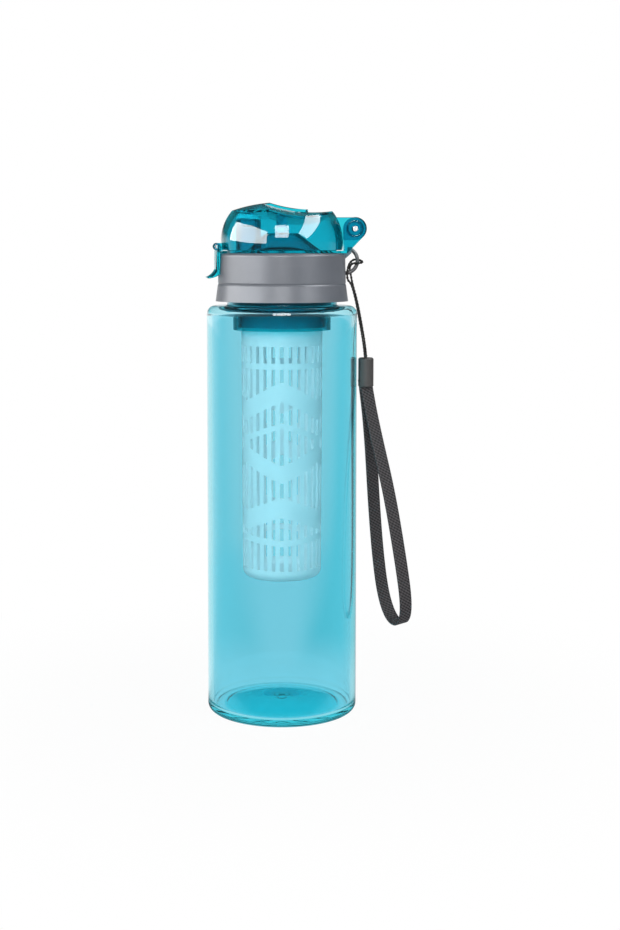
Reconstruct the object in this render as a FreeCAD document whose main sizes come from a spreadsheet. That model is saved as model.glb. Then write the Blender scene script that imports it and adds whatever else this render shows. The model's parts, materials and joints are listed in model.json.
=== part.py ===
import FreeCAD, Part
import math
import os
import re
import Sketcher

# Fruit infuser water bottle. Millimetres, +Z up, the base rests on Z = 0 and the bottle's axis is Z.
# The lid's hinge and the strap are at +X, the latch is at -X, and the photograph looks along +Y.

sizes = {
    # bottle
    "body_radius": 36.0,
    "body_wall": 2.4,
    "base_thickness": 3.0,
    "base_corner": 3.0,
    "foot_width": 5.2,
    "push_up_height": 2.4,
    "shoulder_height": 196.2,
    "shoulder_corner_share": 0.396,
    "neck_radius": 26.4,
    "neck_wall": 2.4,
    "neck_height": 19.8,
    # screw collar and its gasket
    "gasket_thickness": 1.7,
    "gasket_play": 0.15,
    "thread_room": 1.5,
    "collar_gap": 2.1,
    "collar_height": 22.9,
    "collar_foot_radius": 31.8,
    "collar_crease_height": 8.2,
    "collar_crease_radius": 30.8,
    "collar_crease_depth": 0.35,
    "collar_crease_width": 0.7,
    "collar_top_radius": 30.35,
    "collar_edge": 1.8,
    "collar_hole_play": 0.3,
    "rear_lug_width": 6.0,
    "rear_lug_reach": 2.85,
    "rear_lug_height": 2.6,
    "rear_lug_rise": 2.9,
    "rear_lug_thickness": 1.8,
    # cap insert: flange, dome, spout, hinge arms and plug skirt
    "flange_radius": 29.4,
    "flange_thickness": 1.1,
    "deck_thickness": 2.0,
    "skirt_play": 0.5,
    "skirt_wall": 2.2,
    "skirt_depth": 16.5,
    "dome_foot_radius": 19.5,
    "dome_top_radius": 7.7,
    "dome_height": 9.0,
    "dome_wall": 1.7,
    "vent_radius": 1.2,
    "spout_reach": 16.0,
    "spout_radius": 5.8,
    "spout_flat": 5.4,
    "spout_height": 15.1,
    "spout_wall": 1.5,
    "spout_edge": 0.6,
    "lid_arm_gap": 0.64,
    "hinge_rise": 10.48,
    "knuckle_radius": 5.4,
    "arm_thickness": 4.4,
    "arm_play": 0.3,
    "arm_foot_width": 1.8,
    "arm_slope": 43.0,
    "knuckle_width": 8.6,
    "hinge_dish_radius": 4.5,
    "hinge_dish_depth": 0.7,
    "hinge_pin_radius": 1.25,
    "hinge_play": 0.06,
    # flip lid
    "lid_gap": 0.3,
    "lid_foot_radius": 28.7,
    "lid_corner_radius": 23.9,
    "lid_corner_height": 18.8,
    "lid_corner_edge": 1.6,
    "lid_height": 22.8,
    "lid_side_curve": 21.6,
    "lid_top_curve": 71.4,
    "lid_wall": 1.9,
    "scoop_reach": 15.0,
    "scoop_height": 18.0,
    "scoop_curve": 69.0,
    "scoop_crown": 120.0,
    "scoop_half_width": 34.0,
    "tongue_thickness": 1.3,
    "tongue_reach": 12.6,
    "tongue_half_width": 7.0,
    "tongue_back": 13.0,
    "plug_depth": 2.6,
    "plug_play": 0.5,
    "plug_flange": 1.9,
    "plug_taper": 0.5,
    "post_radius": 2.6,
    "peg_radius": 1.6,
    "peg_length": 1.1,
    "vent_plug_radius": 3.2,
    "vent_plug_height": 2.4,
    # latch
    "latch_reach": 31.0,
    "latch_rise": 1.7,
    "latch_knuckle": 1.7,
    "latch_lug_width": 10.0,
    "latch_side_play": 0.25,
    "latch_barrel": 5.2,
    "latch_half_angle": 22.5,
    "latch_play": 0.6,
    "latch_thickness": 1.6,
    "latch_drop": 10.7,
    "latch_hook_drop": 12.2,
    "latch_hook_height": 0.9,
    "latch_hook_play": 0.25,
    "latch_tip_reach": 36.7,
    "latch_tip_drop": 15.1,
    "latch_tip_edge": 0.7,
    "latch_flare": 6.4,
    "latch_foot_half_width": 8.6,
    "latch_pin_radius": 0.8,
    "latch_pin_play": 0.05,
    "catch_height": 1.4,
    "catch_depth": 0.5,
    "catch_gap": 1.1,
    "catch_half_angle": 14.0,
    # infuser holder, its ring and the basket
    "holder_play": 0.6,
    "holder_drop": 14.9,
    "holder_wall": 1.5,
    "holder_web": 2.0,
    "holder_web_drop": 4.5,
    "holder_inner_wall": 1.3,
    "holder_inner_lift": 1.4,
    "lip_radius": 14.2,
    "lip_wall": 1.4,
    "lip_drop": 2.2,
    "spigot_height": 7.5,
    "spigot_wall": 2.6,
    "spigot_play": 0.1,
    "o_ring_radius": 0.69,
    "o_ring_height": 3.7,
    "o_ring_room": 0.85,
    "basket_radius": 19.45,
    "basket_foot_radius": 18.9,
    "basket_play": 0.2,
    "basket_rim_gap": 0.3,
    "basket_wall": 1.5,
    "basket_floor": 2.0,
    "basket_corner": 3.9,
    "basket_drop": 129.4,
    "grille_foot": 5.4,
    "grille_height": 106.6,
    "slot_width": 1.8,
    # strap
    "loop_radius": 0.9,
    "loop_out": 5.85,
    "loop_depth": 1.0,
    "loop_drop": 3.6,
    "loop_bend": 6.0,
    "loop_end": 68.0,
    "loop_hang": 60.0,
    "string_radius": 0.6,
    "string_play": 0.1,
    "string_stand": 3.0,
    "string_depth": 3.0,
    "sleeve_radius": 3.7,
    "sleeve_gap": 0.75,
    "sleeve_length": 14.2,
    "sleeve_drop": 27.3,
    "sleeve_edge": 0.6,
    "webbing_width": 6.6,
    "webbing_thickness": 1.1,
    "webbing_turn": 62.0,
    "webbing_lean": 8.5,
}

columns = 30
columns_in_a_zigzag = 10
# Rows of slots up the basket, as shares of the grille's height: the lower and upper end of a slot in the
# first column of a zigzag, then in the column half a zigzag further on.
row_shares = [
    (0.000, 0.110, 0.000, 0.130),
    (0.136, 0.245, 0.156, 0.175),
    (0.332, 0.392, 0.262, 0.480),
    (0.470, 0.640, 0.558, 0.574),
    (0.666, 0.760, 0.600, 0.666),
    (0.846, 0.900, 0.752, 0.900),
    (0.926, 1.000, 0.926, 1.000),
]
least_slot_share = 0.018
# The strap webbing's route in the plane of its loop: how far out from the sleeve's axis, and how far below
# the sleeve, in millimetres. It starts and ends inside the sleeve.
webbing_route = [
    (0.65, -4.0), (0.9, 8.0), (3.2, 26.0), (7.6, 52.0), (9.0, 84.0), (8.6, 107.0), (2.5, 117.5),
    (-7.5, 116.5), (-12.6, 105.0), (-12.0, 84.0), (-8.2, 56.0), (-3.2, 28.0), (-0.9, 8.0), (-0.65, -4.0),
]
bend_share = 0.45

doc = FreeCAD.newDocument("fruit_infuser_bottle")
sheet = doc.addObject("Spreadsheet::Sheet", "sizes")
for row, (word, size) in enumerate(sizes.items(), 1):
    sheet.set("A%d" % row, word)
    sheet.set("B%d" % row, str(size))
    sheet.setAlias("B%d" % row, word)
doc.recompute()

overrun = 2.0
exported = []


def bound(text):
    return re.sub("[a-z][a-z_]+", lambda m: "sizes." + m.group() if m.group() in sizes else m.group(), text)


def number(text):
    return float(sheet.evalExpression(bound(text)))


# Heights and radii that several pieces share.
push_up_radius = "(body_radius - base_corner - foot_width)"
shoulder_corner = "((body_radius - neck_radius) * shoulder_corner_share)"
neck_rim = "(shoulder_height + neck_height)"
neck_bore = "(neck_radius - neck_wall)"
collar_foot = "(shoulder_height + collar_gap)"
collar_top = "(shoulder_height + collar_gap + collar_height)"
collar_under = "(shoulder_height + neck_height + gasket_thickness)"
flange_top = "(shoulder_height + collar_gap + collar_height + flange_thickness)"
skirt_radius = "(neck_radius - neck_wall - skirt_play)"
skirt_bore = "(neck_radius - neck_wall - skirt_play - skirt_wall)"
skirt_foot = "(shoulder_height + neck_height - skirt_depth)"
dome_top = f"({flange_top} + dome_height)"
spout_top = f"({flange_top} + spout_height)"
hinge_height = f"({flange_top} + hinge_rise)"
hinge_reach = "(lid_foot_radius + lid_arm_gap + knuckle_radius)"
lid_foot = f"({flange_top} + lid_gap)"
latch_height = f"({lid_foot} + latch_rise)"
latch_bore = "(collar_top_radius + latch_play)"
holder_foot = f"({skirt_foot} - holder_drop)"
web_under = f"({skirt_foot} - holder_web_drop)"
basket_rim = f"({web_under} - basket_rim_gap)"
basket_foot = f"({web_under} - basket_rim_gap - basket_drop)"
sleeve_top = f"({collar_foot} - sleeve_drop)"
sleeve_reach = "(body_radius + sleeve_gap + sleeve_radius)"
loop_reach = "(collar_top_radius + loop_out)"


def new_body(name):
    return doc.addObject("PartDesign::Body", name)


def plane_of(body, role):
    return next(f for f in body.Origin.OriginFeatures if f.Role == role)


def new_sketch(body, name, plane, lift="0", up="0"):
    sketch = body.newObject("Sketcher::SketchObject", name)
    sketch.AttachmentSupport = [(plane_of(body, plane), "")]
    sketch.MapMode = "FlatFace"
    if up != "0":
        sketch.setExpression(".AttachmentOffset.Base.y", bound(up))
    if lift != "0":
        sketch.setExpression(".AttachmentOffset.Base.z", bound(lift))
    return sketch


def tie(sketch, kind, geometry, corner, text):
    if kind == "Radius":
        made = Sketcher.Constraint(kind, geometry, number(text))
    else:
        made = Sketcher.Constraint(kind, -1, 1, geometry, corner, number(text))
    index = sketch.addConstraint(made)
    sketch.setExpression("Constraints[%d]" % index, bound(text))


def arc_between(p, q, radius, side):
    across = q - p
    left = FreeCAD.Vector(-across.y, across.x, 0).normalize()
    away = math.sqrt(max(radius ** 2 - (across.Length / 2) ** 2, 0))
    centre = (p + q) / 2 + left * (away if side == "left" else -away)
    first, last = (p, q) if side == "left" else (q, p)
    start = math.atan2(first.y - centre.y, first.x - centre.x)
    end = math.atan2(last.y - centre.y, last.x - centre.x)
    return Part.ArcOfCircle(Part.Circle(centre, FreeCAD.Vector(0, 0, 1), radius), start, end)


# Draws a closed outline. A corner is (across, up), or (across, up, radius, side) where an arc leaves it for
# the next corner and its centre lies on that side; "half" as a fifth entry is a half circle.
def trace(sketch, corners, closed=True):
    spots = [FreeCAD.Vector(number(c[0]), number(c[1]), 0) for c in corners]
    edges = []
    for i, corner in enumerate(corners if closed else corners[:-1]):
        p, q = spots[i], spots[(i + 1) % len(spots)]
        if len(corner) == 2:
            edges.append((sketch.addGeometry(Part.LineSegment(p, q)), 1, 2))
        else:
            curve = arc_between(p, q, number(corner[2]), corner[3])
            ends = (1, 2) if corner[3] == "left" else (2, 1)
            edges.append((sketch.addGeometry(curve), *ends))
    for i, edge in enumerate(edges):
        if closed or i + 1 < len(edges):
            after = edges[(i + 1) % len(edges)]
            sketch.addConstraint(Sketcher.Constraint("Coincident", edge[0], edge[2], after[0], after[1]))
    for i, corner in enumerate(corners):
        geometry, start = edges[i][:2] if i < len(edges) else (edges[-1][0], edges[-1][2])
        tie(sketch, "DistanceX", geometry, start, corner[0])
        tie(sketch, "DistanceY", geometry, start, corner[1])
        if len(corner) == 4:
            tie(sketch, "Radius", geometry, None, corner[2])
        elif len(corner) == 5:
            after = corners[(i + 1) % len(corners)]
            upright = abs(number(corner[0]) - number(after[0])) < abs(number(corner[1]) - number(after[1]))
            tie(sketch, *(("DistanceX", geometry, 3, corner[0]) if upright else
                          ("DistanceY", geometry, 3, corner[1])))


def ring(sketch, across, up, radius):
    spot = FreeCAD.Vector(number(across), number(up), 0)
    circle = sketch.addGeometry(Part.Circle(spot, FreeCAD.Vector(0, 0, 1), number(radius)))
    tie(sketch, "DistanceX", circle, 3, across)
    tie(sketch, "DistanceY", circle, 3, up)
    tie(sketch, "Radius", circle, None, radius)


def revolved(body, name, sketch, axis="V_Axis", angle=None):
    made = body.newObject("PartDesign::Revolution", name)
    made.Profile = sketch
    made.ReferenceAxis = (sketch, [axis])
    if angle:
        made.Midplane = True
        made.setExpression("Angle", bound(angle))
    doc.recompute()
    return made


def grown(body, kind, name, sketch, length, both=False):
    made = body.newObject("PartDesign::" + kind, name)
    made.Profile = sketch
    made.setExpression("Length", bound(length))
    if both:
        made.SideType = "Symmetric"
    doc.recompute()
    return made


def mirrored(body, name, features):
    made = body.newObject("PartDesign::Mirrored", name)
    made.Originals = features
    made.MirrorPlane = (plane_of(body, "XZ_Plane"), [""])
    body.Tip = made
    doc.recompute()
    return made


def rounded(body, name, before, radius, wanted):
    edges = ["Edge%d" % (i + 1) for i, e in enumerate(before.Shape.Edges) if wanted(e)]
    made = body.newObject("PartDesign::Fillet", name)
    made.Base = (before, edges)
    made.setExpression("Radius", bound(radius))
    doc.recompute()
    return made


def level(edge, text):
    box = edge.BoundBox
    return abs(box.ZMin - number(text)) < 1e-4 and abs(box.ZMax - number(text)) < 1e-4


def cut(name, base, tool):
    made = doc.addObject("Part::Cut", name)
    made.Base, made.Tool = base, tool
    doc.recompute()
    return made


def fused(name, pieces):
    made = doc.addObject("Part::MultiFuse", name)
    made.Shapes = pieces
    doc.recompute()
    return made


# A round bar along Y.
def cross_bar(name, across, up, radius, length):
    made = doc.addObject("Part::Cylinder", name)
    made.setExpression("Radius", bound(radius))
    made.setExpression("Height", bound(length))
    made.Placement = FreeCAD.Placement(FreeCAD.Vector(), FreeCAD.Rotation(FreeCAD.Vector(1, 0, 0), -90))
    made.setExpression("Placement.Base.x", bound(across))
    made.setExpression("Placement.Base.y", bound(f"-({length}) / 2"))
    made.setExpression("Placement.Base.z", bound(up))
    doc.recompute()
    return made


def keep(piece, label):
    piece.Label = label
    exported.append(piece)


def make_bottle():
    inside = "(body_radius - body_wall)"
    bowl = f"({push_up_radius} ^ 2 + push_up_height ^ 2) / (2 * push_up_height)"
    corner = f"({shoulder_corner} - body_wall / 2)"
    heel = "base_corner"
    under = "(shoulder_height - body_wall)"
    body = new_body("bottle")
    sketch = new_sketch(body, "bottle_outline", "XZ_Plane")
    trace(sketch, [
        ("0", "push_up_height", bowl, "right"),
        (push_up_radius, "0"),
        ("body_radius - base_corner", "0", "base_corner", "left"),
        ("body_radius", "base_corner"),
        ("body_radius", f"shoulder_height - {shoulder_corner}", shoulder_corner, "left"),
        (f"body_radius - {shoulder_corner}", "shoulder_height"),
        ("neck_radius", "shoulder_height"),
        ("neck_radius", neck_rim),
        (neck_bore, neck_rim),
        (neck_bore, under),
        (f"{inside} - {corner}", under, corner, "right"),
        (inside, f"{under} - {corner}"),
        (inside, f"base_thickness + {heel}", heel, "right"),
        (f"{inside} - {heel}", "base_thickness"),
        (push_up_radius, "base_thickness", bowl, "left"),
        ("0", "push_up_height + base_thickness"),
    ])
    revolved(body, "bottle_turned", sketch)
    keep(body, "bottle_body")


def make_gasket():
    body = new_body("gasket")
    sketch = new_sketch(body, "gasket_outline", "XZ_Plane")
    inner = f"{skirt_radius} + gasket_play"
    trace(sketch, [(inner, neck_rim), ("neck_radius", neck_rim), ("neck_radius", collar_under),
                   (inner, collar_under)])
    revolved(body, "gasket_turned", sketch)
    keep(body, "neck_gasket")


def make_collar(loop):
    bore = "(neck_radius + thread_room)"
    hole = f"({skirt_radius} + collar_hole_play)"
    crease = f"({collar_foot} + collar_crease_height)"
    body = new_body("collar_blank")
    sketch = new_sketch(body, "collar_outline", "XZ_Plane")
    trace(sketch, [
        (bore, collar_foot),
        ("collar_foot_radius", collar_foot),
        ("collar_crease_radius", f"{crease} - collar_crease_width"),
        ("collar_crease_radius - collar_crease_depth", crease),
        ("collar_crease_radius - collar_crease_depth / 2", f"{crease} + collar_crease_width"),
        ("collar_top_radius", f"{collar_top} - collar_edge", "collar_edge", "left"),
        ("collar_top_radius - collar_edge", collar_top),
        (hole, collar_top),
        (hole, collar_under),
        (bore, collar_under),
    ])
    revolved(body, "collar_turned", sketch)
    # the catch that the latch's hook sits under
    low = f"({latch_height} - latch_hook_drop + catch_gap)"
    root = "(collar_top_radius - catch_depth)"
    sketch = new_sketch(body, "catch_outline", "XZ_Plane")
    trace(sketch, [
        (f"-{root}", low), (f"-{root}", f"{low} + catch_height"),
        ("-(collar_top_radius + catch_depth / 2)", f"{low} + catch_height / 2"),
        ("-(collar_top_radius + catch_depth)", low),
    ])
    revolved(body, "catch_turned", sketch, angle="2 * catch_half_angle")
    # the lug under the hinge arms, which also takes the loop's upper end
    inner = f"{bore} + collar_hole_play"
    outer = "collar_top_radius + rear_lug_reach"
    sketch = new_sketch(body, "rear_lug_outline", "XZ_Plane")
    trace(sketch, [
        (inner, f"{collar_top} - rear_lug_height"), ("collar_top_radius", f"{collar_top} - rear_lug_height"),
        (outer, collar_top), (outer, f"{collar_top} + rear_lug_rise"),
        (f"{outer} - rear_lug_thickness", f"{collar_top} + rear_lug_rise"),
        (f"{outer} - rear_lug_thickness", collar_top), (inner, collar_top),
    ])
    grown(body, "Pad", "rear_lug", sketch, "rear_lug_width", both=True)
    keep(cut("collar_with_sockets", body, loop), "cap_collar")


def make_insert():
    body = new_body("insert")
    inner_top = f"{dome_top} - dome_wall"
    deck_under = f"{flange_top} - deck_thickness"
    sketch = new_sketch(body, "insert_outline", "XZ_Plane")
    trace(sketch, [
        ("0", dome_top), ("0", inner_top),
        ("dome_top_radius - dome_wall / 2", inner_top),
        ("dome_foot_radius - dome_wall", deck_under),
        (skirt_bore, deck_under), (skirt_bore, skirt_foot),
        (skirt_radius, skirt_foot), (skirt_radius, collar_top),
        ("flange_radius", collar_top), ("flange_radius", flange_top),
        ("dome_foot_radius", flange_top), ("dome_top_radius", dome_top),
    ])
    turned = revolved(body, "insert_turned", sketch)
    rounded(body, "dome_edge", turned, "spout_edge", lambda e: level(e, dome_top) and e.Length > 1)

    def oval(sketch, radius):
        right, left = f"-spout_reach + {radius}", f"-spout_reach - {radius}"
        trace(sketch, [
            (right, "-spout_flat / 2"), (right, "spout_flat / 2", radius, "left", "half"),
            (left, "spout_flat / 2"), (left, "-spout_flat / 2", radius, "left", "half"),
        ])

    sketch = new_sketch(body, "spout_outline", "XY_Plane", lift=flange_top)
    oval(sketch, "spout_radius")
    grown(body, "Pad", "spout", sketch, "spout_height")
    sketch = new_sketch(body, "spout_bore_outline", "XY_Plane", lift=spout_top)
    oval(sketch, "(spout_radius - spout_wall)")
    bored = grown(body, "Pocket", "spout_bore", sketch, f"spout_height + deck_thickness + {overrun}")
    beside_rim = "-spout_reach - spout_radius + spout_wall / 2"
    rounded(body, "spout_rim", bored, "spout_edge",
            lambda e: level(e, spout_top) and e.BoundBox.XMin < number(beside_rim))
    sketch = new_sketch(body, "vent_outline", "XY_Plane", lift=dome_top)
    ring(sketch, "0", "0", "vent_radius")
    grown(body, "Pocket", "vent", sketch, f"dome_wall + {overrun}")
    # the pad behind the flange that carries the hinge arms
    reach = f"({hinge_reach} - knuckle_radius)"
    inside = "(knuckle_width / 2 + arm_play)"
    outside = f"({inside} + arm_thickness)"
    sketch = new_sketch(body, "arm_pad_outline", "XY_Plane", lift=collar_top)
    trace(sketch, [(skirt_radius, f"-{outside}"), (f"{reach} + arm_foot_width", f"-{outside}"),
                   (f"{reach} + arm_foot_width", outside), (skirt_radius, outside)])
    grown(body, "Pad", "arm_pad", sketch, "flange_thickness")
    sketch = new_sketch(body, "arm_outline", "XZ_Plane", lift=inside)
    # the arm's outer edge runs straight up from its foot to where it meets the knuckle
    shoulder = f"({hinge_reach} + knuckle_radius * cos(arm_slope))"
    dip = f"({hinge_height} - knuckle_radius * sin(arm_slope))"
    trace(sketch, [
        (reach, collar_top), (f"{reach} + arm_foot_width", collar_top),
        (shoulder, dip, "knuckle_radius", "left"),
        (hinge_reach, f"{hinge_height} + knuckle_radius", "knuckle_radius", "left"),
        (reach, hinge_height),
    ])
    arm = grown(body, "Pad", "arm", sketch, "arm_thickness")
    sketch = new_sketch(body, "dish_outline", "XZ_Plane", lift=outside)
    ring(sketch, hinge_reach, hinge_height, "hinge_dish_radius")
    dish = grown(body, "Pocket", "dish", sketch, "hinge_dish_depth")
    mirrored(body, "both_arms", [arm, dish])
    sketch = new_sketch(body, "hinge_bore_outline", "XZ_Plane")
    ring(sketch, hinge_reach, hinge_height, "hinge_pin_radius")
    grown(body, "Pocket", "hinge_bore", sketch, f"2 * {outside} + {overrun}", both=True)
    keep(body, "cap_insert")
    keep(cross_bar("hinge_rod", hinge_reach, hinge_height, "hinge_pin_radius",
                   f"2 * ({outside} - hinge_dish_depth)"), "hinge_pin")


# The waisted roller shape that scoops out the lid's top, raised by the given amount.
def scoop(name, raised):
    body = new_body(name)
    sketch = new_sketch(body, name + "_outline", "YZ_Plane", lift="scoop_reach",
                        up=f"{lid_foot} + scoop_height + scoop_curve")
    waist = f"(scoop_curve - ({raised}))"
    crown = f"(scoop_crown + ({raised}))"
    edge = f"-({waist} + {crown} - sqrt({crown} ^ 2 - scoop_half_width ^ 2))"
    trace(sketch, [("-scoop_half_width", "0"), ("-scoop_half_width", edge, crown, "right"),
                   ("scoop_half_width", edge), ("scoop_half_width", "0")])
    revolved(body, name + "_turned", sketch, axis="H_Axis")
    return body


def dome(name, wall, low):
    body = new_body(name)
    sketch = new_sketch(body, name + "_outline", "XZ_Plane")
    trace(sketch, [
        ("0", low), (f"lid_foot_radius - {wall}", low),
        (f"lid_foot_radius - {wall}", lid_foot, f"lid_side_curve - {wall}", "left"),
        (f"lid_corner_radius - {wall}", f"{lid_foot} + lid_corner_height - {wall}",
         f"lid_top_curve - {wall}", "left"),
        ("0", f"{lid_foot} + lid_height - {wall}"),
    ] if wall != "0" else [
        ("0", lid_foot), ("lid_foot_radius", lid_foot, "lid_side_curve", "left"),
        ("lid_corner_radius", f"{lid_foot} + lid_corner_height", "lid_top_curve", "left"),
        ("0", f"{lid_foot} + lid_height"),
    ])
    return body, revolved(body, name + "_turned", sketch)


def make_lid():
    outer, turned = dome("lid_dome", "0", lid_foot)
    rounded(outer, "lid_corner", turned, "lid_corner_edge",
            lambda e: level(e, f"{lid_foot} + lid_corner_height"))
    hollow = dome("lid_hollow", "lid_wall", f"{lid_foot} - {overrun}")[0]
    # the bare tongue left standing on the scooped top
    tongue = new_body("tongue")
    sketch = new_sketch(tongue, "tongue_outline", "XY_Plane", lift=lid_foot)
    trace(sketch, [
        ("-tongue_back", "-tongue_half_width"),
        ("tongue_reach - tongue_half_width", "-tongue_half_width", "tongue_half_width", "left", "half"),
        ("tongue_reach - tongue_half_width", "tongue_half_width"),
        ("-tongue_back", "tongue_half_width"),
    ])
    grown(tongue, "Pad", "tongue_block", sketch, "2 * lid_height")
    around = cut("scoop_around_tongue", scoop("low_scoop", "0"), tongue)
    top = cut("lid_scooped", cut("lid_cut_round", outer, around), scoop("high_scoop", "tongue_thickness"))
    shell = cut("lid_shell", top, cut("lid_room", hollow, scoop("inner_scoop", "-lid_wall")))
    # the knuckle between the hinge arms, and the lug that carries the latch
    half = "knuckle_radius"
    arm = new_body("lid_knuckle")
    sketch = new_sketch(arm, "lid_knuckle_outline", "XZ_Plane")
    trace(sketch, [
        ("lid_foot_radius - lid_wall / 2", f"{hinge_height} - {half}"),
        (hinge_reach, f"{hinge_height} - {half}", half, "left", "half"),
        (hinge_reach, f"{hinge_height} + {half}"),
        ("lid_corner_radius + lid_wall / 2", f"{hinge_height} + {half}"),
    ])
    grown(arm, "Pad", "lid_knuckle_block", sketch, "knuckle_width", both=True)
    lug = new_body("latch_lug")
    sketch = new_sketch(lug, "latch_lug_outline", "XZ_Plane")
    trace(sketch, [
        ("-latch_reach", f"{latch_height} + latch_knuckle", "latch_knuckle", "left", "half"),
        ("-latch_reach", f"{latch_height} - latch_knuckle"),
        ("-(lid_foot_radius - lid_wall / 2)", f"{latch_height} - latch_knuckle"),
        ("-(lid_foot_radius - lid_wall / 2)", f"{latch_height} + latch_knuckle"),
    ])
    grown(lug, "Pad", "latch_lug_block", sketch, "latch_lug_width", both=True)
    # posts under the lid's roof, each with a peg that holds a silicone plug
    roof = f"({lid_foot} + scoop_height)"
    posts = []
    for name, across, seat in (("spout_post", "-spout_reach", f"{spout_top} + lid_gap + plug_flange"),
                               ("vent_post", "0", f"{dome_top} + lid_gap + vent_plug_height")):
        post = new_body(name)
        sketch = new_sketch(post, name + "_outline", "XY_Plane", lift=seat)
        ring(sketch, across, "0", "post_radius")
        grown(post, "Pad", name + "_block", sketch, f"{roof} + lid_wall / 2 - ({seat})")
        sketch = new_sketch(post, name + "_peg_outline", "XY_Plane", lift=f"{seat} - peg_length")
        ring(sketch, across, "0", "peg_radius")
        grown(post, "Pad", name + "_peg", sketch, f"peg_length + {overrun}")
        posts.append(post)
    whole = fused("lid_whole", [shell, arm, lug] + posts)
    bores = fused("lid_bores", [
        cross_bar("lid_hinge_bore", hinge_reach, hinge_height, "hinge_pin_radius + hinge_play",
                  f"knuckle_width + {overrun}"),
        cross_bar("lid_latch_bore", "-latch_reach", latch_height, "latch_pin_radius",
                  f"latch_lug_width + {overrun}"),
    ])
    keep(cut("lid_bored", whole, bores), "flip_lid")


def make_plugs():
    inner = "(spout_radius - spout_wall - plug_play)"
    seat = f"({spout_top} + lid_gap)"
    body = new_body("spout_stopper")

    def oval(name, lift, radius):
        right, left = f"-spout_reach + {radius}", f"-spout_reach - {radius}"
        sketch = new_sketch(body, name, "XY_Plane", lift=lift)
        trace(sketch, [
            (right, "-spout_flat / 2"), (right, "spout_flat / 2", radius, "left", "half"),
            (left, "spout_flat / 2"), (left, "-spout_flat / 2", radius, "left", "half"),
        ])
        return sketch

    grown(body, "Pad", "stopper_flange", oval("stopper_flange_outline", seat, "spout_radius"), "plug_flange")
    loft = body.newObject("PartDesign::AdditiveLoft", "stopper_plug")
    loft.Profile = oval("stopper_root_outline", seat, inner)
    loft.Sections = [oval("stopper_end_outline", f"{seat} - lid_gap - plug_depth", f"({inner} - plug_taper)")]
    doc.recompute()
    sketch = new_sketch(body, "stopper_socket_outline", "XY_Plane", lift=f"{seat} + plug_flange")
    ring(sketch, "-spout_reach", "0", "peg_radius")
    grown(body, "Pocket", "stopper_socket", sketch, "peg_length")
    keep(body, "spout_plug")

    seat = f"({dome_top} + lid_gap)"
    top = f"({seat} + vent_plug_height)"
    body = new_body("vent_stopper")
    sketch = new_sketch(body, "vent_stopper_outline", "XZ_Plane")
    trace(sketch, [("0", seat), ("vent_plug_radius", seat), ("vent_plug_radius", top), ("peg_radius", top),
                   ("peg_radius", f"{top} - peg_length"), ("0", f"{top} - peg_length")])
    revolved(body, "vent_stopper_turned", sketch)
    keep(body, "vent_plug")


def make_latch():
    inner = latch_bore
    outer = f"({latch_bore} + latch_thickness)"
    hook = f"({latch_height} - latch_hook_drop)"
    hook_face = "(collar_top_radius + latch_hook_play)"
    tip = f"({latch_height} - latch_tip_drop)"
    body = new_body("latch")
    sketch = new_sketch(body, "latch_outline", "XZ_Plane")
    trace(sketch, [
        (f"-{inner}", latch_height),
        (f"-{outer}", latch_height),
        (f"-{outer}", f"{latch_height} - latch_drop", "latch_flare", "right"),
        ("-latch_tip_reach", f"{tip} + latch_tip_edge"),
        ("-latch_tip_reach + latch_tip_edge", tip, "latch_flare + latch_thickness", "left"),
        (f"-{hook_face}", f"{hook} - latch_hook_height"),
        (f"-{hook_face}", hook),
        (f"-{inner}", f"{hook} + latch_play"),
    ])
    revolved(body, "latch_plate", sketch, angle="2 * latch_half_angle")
    # the sides taper in towards the finger tip
    wide = f"({outer} * sin(latch_half_angle))"
    far = f"(latch_tip_reach + {overrun})"
    sketch = new_sketch(body, "latch_side_outline", "YZ_Plane", lift=f"-{far}")
    trace(sketch, [
        (f"{wide} - latch_thickness / 2", latch_height),
        ("latch_foot_half_width", f"{tip} + latch_tip_edge"),
        ("latch_foot_half_width", f"{tip} - {overrun}"),
        (f"{wide} + {overrun}", f"{tip} - {overrun}"),
        (f"{wide} + {overrun}", f"{latch_height} + {overrun}"),
        (f"{wide} - latch_thickness / 2", f"{latch_height} + {overrun}"),
    ])
    side = body.newObject("PartDesign::Pocket", "latch_side")
    side.Profile = sketch
    side.Reversed = True
    side.setExpression("Length", bound(f"{far} - latch_reach / 2"))
    doc.recompute()
    mirrored(body, "latch_sides", [side])
    # the barrels each side of the lid's lug
    near = "(latch_lug_width / 2 + latch_side_play)"
    sketch = new_sketch(body, "latch_barrel_outline", "XZ_Plane", lift=near)
    ring(sketch, "-latch_reach", latch_height, "latch_knuckle")
    barrel = grown(body, "Pad", "latch_barrel_block", sketch, "latch_barrel")
    mirrored(body, "latch_barrels", [barrel])
    sketch = new_sketch(body, "latch_notch_outline", "XZ_Plane")
    floor = f"{latch_height} - latch_knuckle - 2 * latch_side_play"
    back = f"-({outer} + {overrun})"
    trace(sketch, [(back, floor), ("-latch_reach / 2", floor), ("-latch_reach / 2", f"{latch_height} * 2"),
                   (back, f"{latch_height} * 2")])
    grown(body, "Pocket", "latch_notch", sketch, f"2 * {near}", both=True)
    sketch = new_sketch(body, "latch_bore_outline", "XZ_Plane")
    ring(sketch, "-latch_reach", latch_height, "latch_pin_radius + latch_pin_play")
    span = f"2 * ({near} + latch_barrel)"
    grown(body, "Pocket", "latch_pin_bore", sketch, f"{span} + {overrun}", both=True)
    keep(body, "latch_clip")
    keep(cross_bar("latch_rod", "-latch_reach", latch_height, "latch_pin_radius", span), "latch_pin")


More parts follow.
